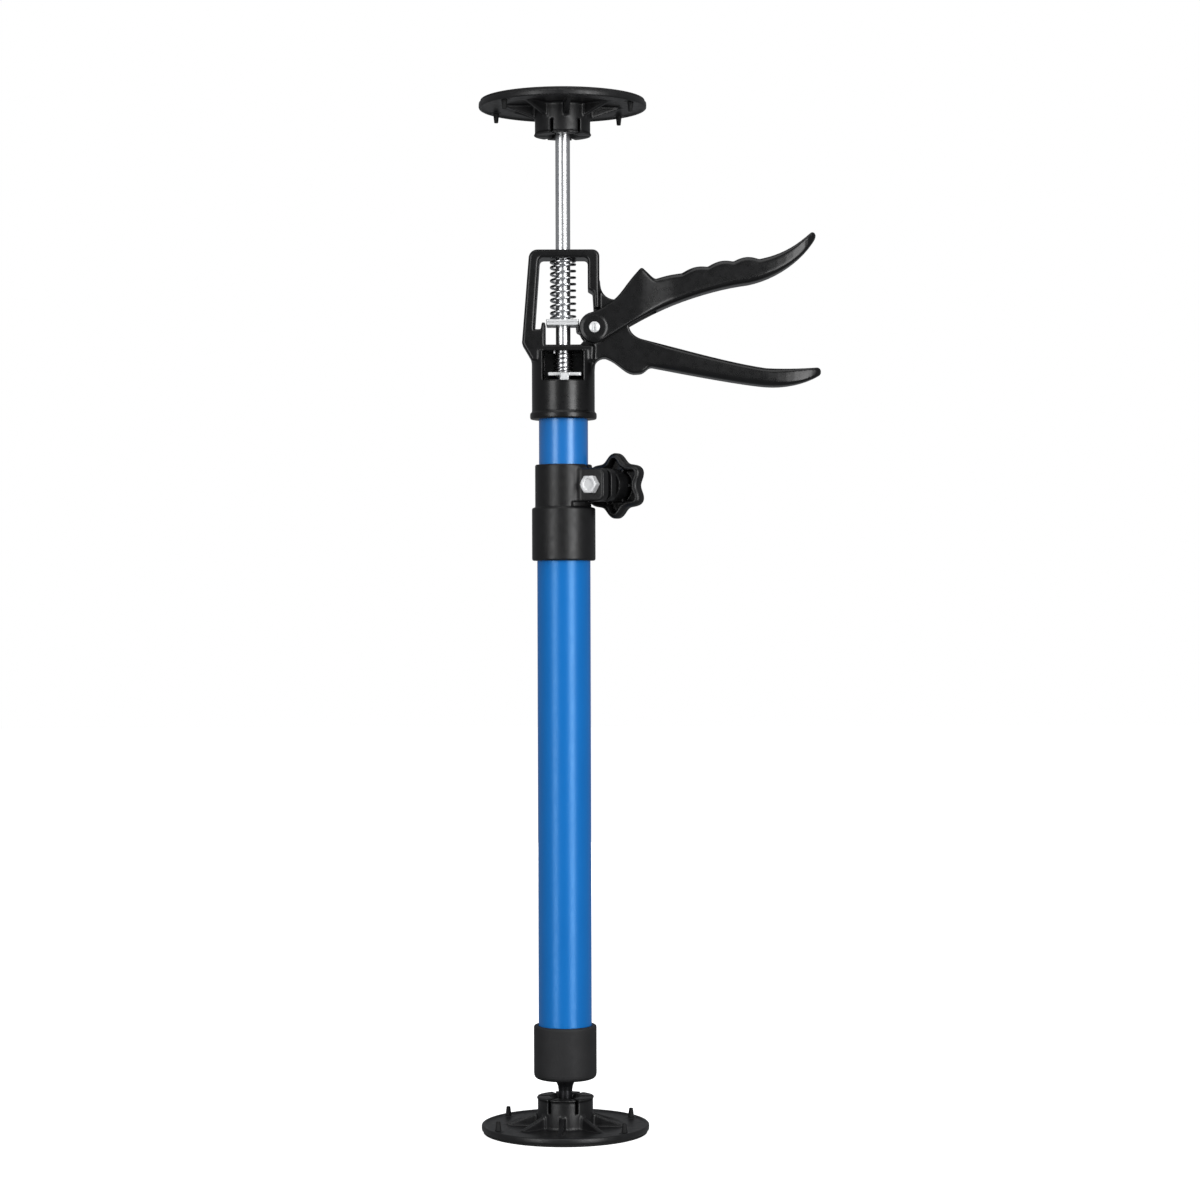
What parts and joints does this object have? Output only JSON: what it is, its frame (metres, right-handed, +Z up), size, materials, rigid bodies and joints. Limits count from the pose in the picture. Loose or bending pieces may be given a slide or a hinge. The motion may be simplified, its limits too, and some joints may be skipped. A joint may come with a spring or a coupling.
{
  "type": "support pole",
  "caption": "Telescopic quick-grip support pole with a clamped sliding tube, a trigger jack that lifts a push rod, and ball-jointed round pads at foot and head.",
  "frame": {"origin": "centre of the foot pad's lower face", "axes": "+Z up the pole's axis, +X towards the handles, -Y towards the open front of the grip"},
  "size_m": [0.1634, 0.08, 0.492],
  "materials": {
    "blue_paint": "smooth gloss powder coat",
    "black_plastic": "fine moulded satin",
    "black_steel": "black oxide",
    "black_rubber": "matte",
    "bright_steel": "bright plated",
    "zinc_steel": "zinc plated",
    "spring_steel": "oiled spring wire",
    "brass": "turned"
  },
  "bodies": {
    "lower_pole": {"outer_tube": "blue_paint", "foot_cap": "black_plastic", "clamp_collar": "black_plastic", "clamp_bolt": "zinc_steel"},
    "foot_stud": {"foot_ball_stud": "black_steel", "foot_stud_nut": "zinc_steel"},
    "foot_pad": {"foot_disc": "black_plastic", "foot_rubber": "black_rubber"},
    "knob_washer": {"clamp_washer": "zinc_steel"},
    "knob": {"clamp_knob": "black_plastic", "knob_insert": "brass"},
    "slider": {"guide_bush": "black_plastic"},
    "upper_pole": {"inner_tube": "blue_paint", "grip_body": "black_plastic", "socket_rivet": "zinc_steel", "pivot_screw": "zinc_steel", "pivot_nut": "zinc_steel", "drive_spring": "bright_steel", "lock_spring": "spring_steel"},
    "trigger": {"trigger_lever": "black_plastic"},
    "drive": {"drive_plates": "bright_steel"},
    "lock": {"lock_plate": "bright_steel"},
    "rod": {"push_rod": "bright_steel", "rod_stop": "zinc_steel"},
    "ball": {"head_ball": "black_plastic"},
    "head_pad": {"head_disc": "black_plastic", "head_rubber": "black_rubber"}
  },
  "joints": [
    {"name": "foot_swivel", "type": "hinge", "parent": "lower_pole", "child": "foot_stud", "pos_m": [0, 0, 0.0255], "axis": [0, 0, 1], "continuous": true},
    {"name": "foot_tilt", "type": "hinge", "parent": "foot_stud", "child": "foot_pad", "pos_m": [0, 0, 0.0095], "axis": [0, 1, 0], "range_deg": [-15, 15]},
    {"name": "knob_travel", "type": "slide", "parent": "lower_pole", "child": "knob_washer", "axis": [0.515, 0.8572, 0], "range_m": [0, 0.0017]},
    {"name": "knob_turn", "type": "hinge", "parent": "knob_washer", "child": "knob", "pos_m": [0.01654, -0.00994, 0.3083], "axis": [0.515, 0.8572, 0], "range_deg": [0, 720]},
    {"name": "pole_extend", "type": "slide", "parent": "lower_pole", "child": "slider", "axis": [0, 0, 1], "range_m": [-0.018, 0.17]},
    {"name": "pole_turn", "type": "hinge", "parent": "slider", "child": "upper_pole", "pos_m": [0, 0, 0.066], "axis": [0, 0, 1], "continuous": true},
    {"name": "lever_squeeze", "type": "hinge", "parent": "upper_pole", "child": "trigger", "pos_m": [0.015, 0, 0.383], "axis": [0, 1, 0], "range_deg": [0, 26], "stiffness_Nm_per_rad": 0.8, "springref_deg": -8.59},
    {"name": "drive_lift", "type": "slide", "parent": "upper_pole", "child": "drive", "axis": [0, 0, 1], "range_m": [0, 0.0035], "deforming": ["drive_spring"]},
    {"name": "lock_release", "type": "hinge", "parent": "upper_pole", "child": "lock", "pos_m": [0, 0.009, 0.3616], "axis": [-1, 0, 0], "range_deg": [0, 4.5], "stiffness_Nm_per_rad": 0.6, "springref_deg": -5.73, "deforming": ["lock_spring"]},
    {"name": "rod_lift", "type": "slide", "parent": "upper_pole", "child": "rod", "axis": [0, 0, 1], "range_m": [-0.048, 0.06]},
    {"name": "head_swivel", "type": "hinge", "parent": "rod", "child": "ball", "pos_m": [0, 0, 0.4825], "axis": [0, 0, 1], "continuous": true},
    {"name": "head_tilt", "type": "hinge", "parent": "ball", "child": "head_pad", "pos_m": [0, 0, 0.4825], "axis": [0, 1, 0], "range_deg": [-15, 15]}
  ],
  "couplings": [
    {"joint": "knob_travel", "follows": "knob_turn", "m_per_rad": 0.00012732},
    {"joint": "drive_lift", "follows": "lever_squeeze", "m_per_rad": 0.0073}
  ]
}
